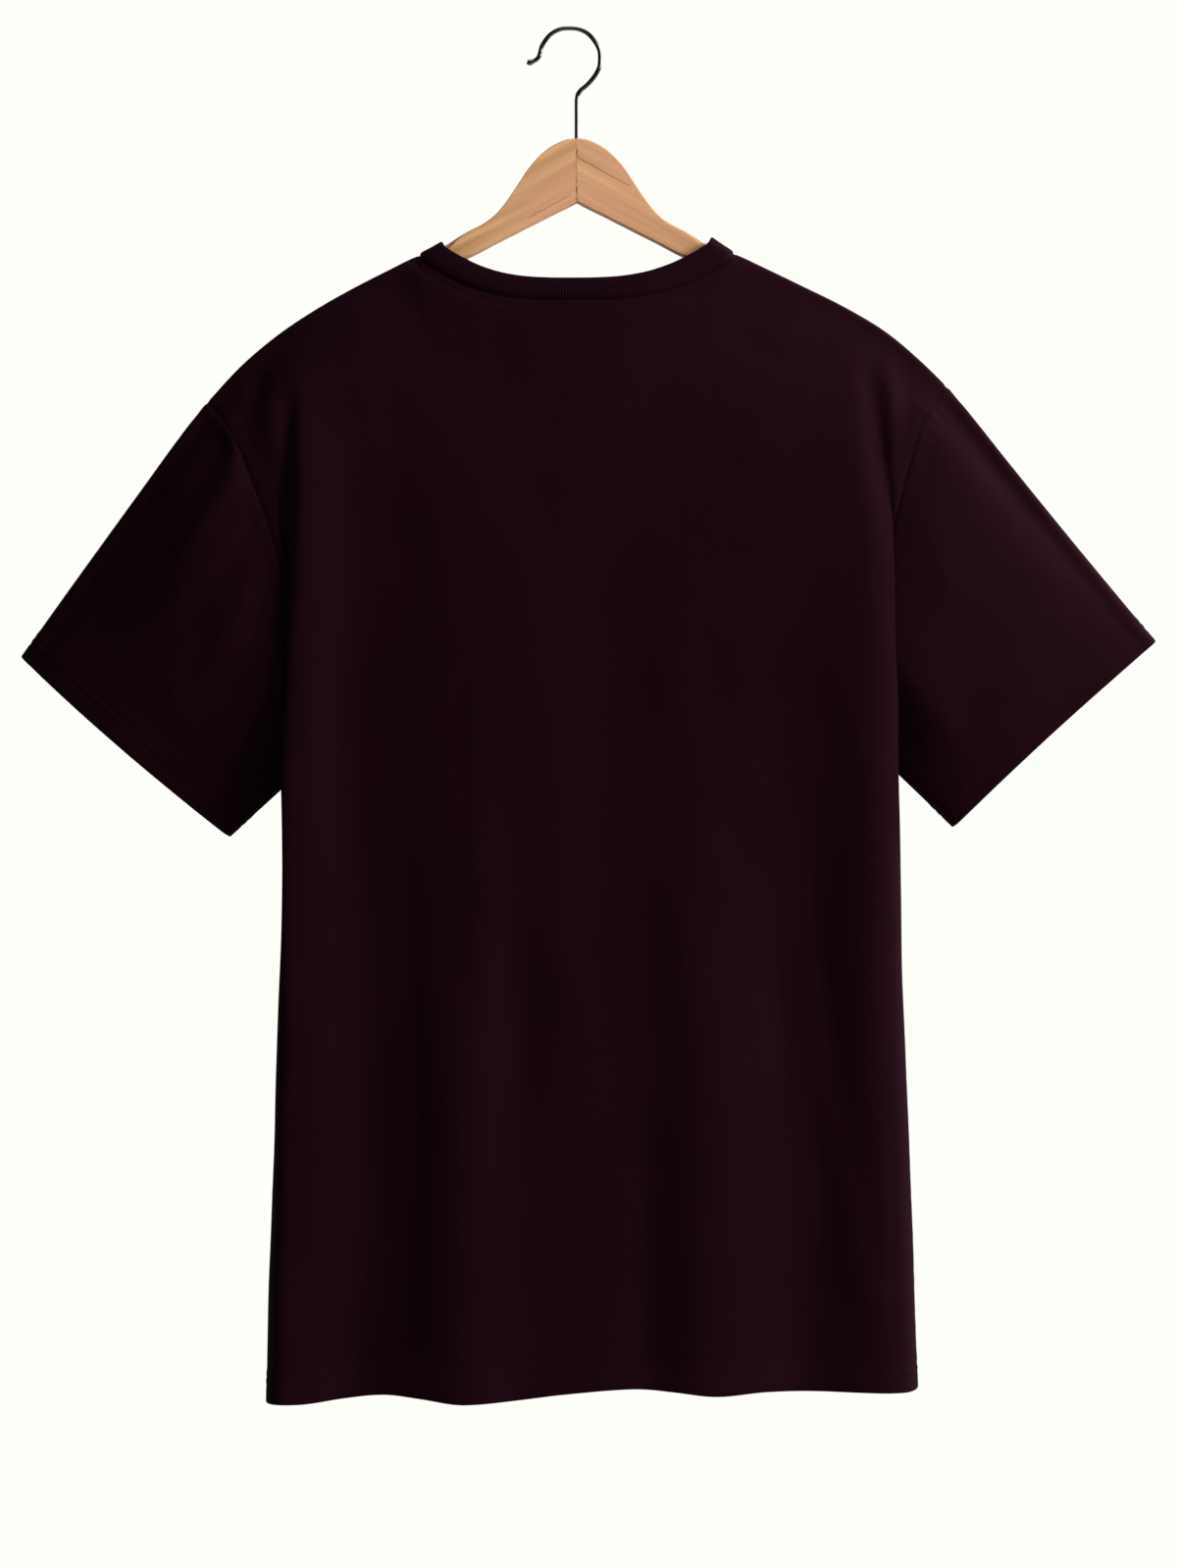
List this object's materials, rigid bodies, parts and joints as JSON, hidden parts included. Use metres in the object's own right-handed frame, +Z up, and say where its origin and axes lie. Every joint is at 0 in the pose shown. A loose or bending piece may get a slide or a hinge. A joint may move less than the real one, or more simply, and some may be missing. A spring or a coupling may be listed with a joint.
{
  "type": "crew neck t-shirt on a hanger",
  "caption": "Short-sleeved crew neck t-shirt hanging on a wooden hanger with a wire hook, open at the neck, hem and cuffs.",
  "frame": {"origin": "the inner top of the hanger's hook, where it rests on a rail", "axes": "+Z up, +X towards the wearer's left, -Y out of the shirt's front"},
  "size_m": [0.7396, 0.0997, 0.8923],
  "materials": {
    "jersey": "matte cotton jersey knit",
    "rib": "matte cotton rib knit",
    "wood": "satin natural wood",
    "hook": "gloss black"
  },
  "bodies": {
    "root": {"back_panel": "jersey", "front_panel": "jersey", "left_sleeve": "jersey", "right_sleeve": "jersey", "neck_rib": "rib", "hanger_arm_left": "wood", "hanger_arm_right": "wood", "hanger_hook": "hook"}
  },
  "joints": []
}
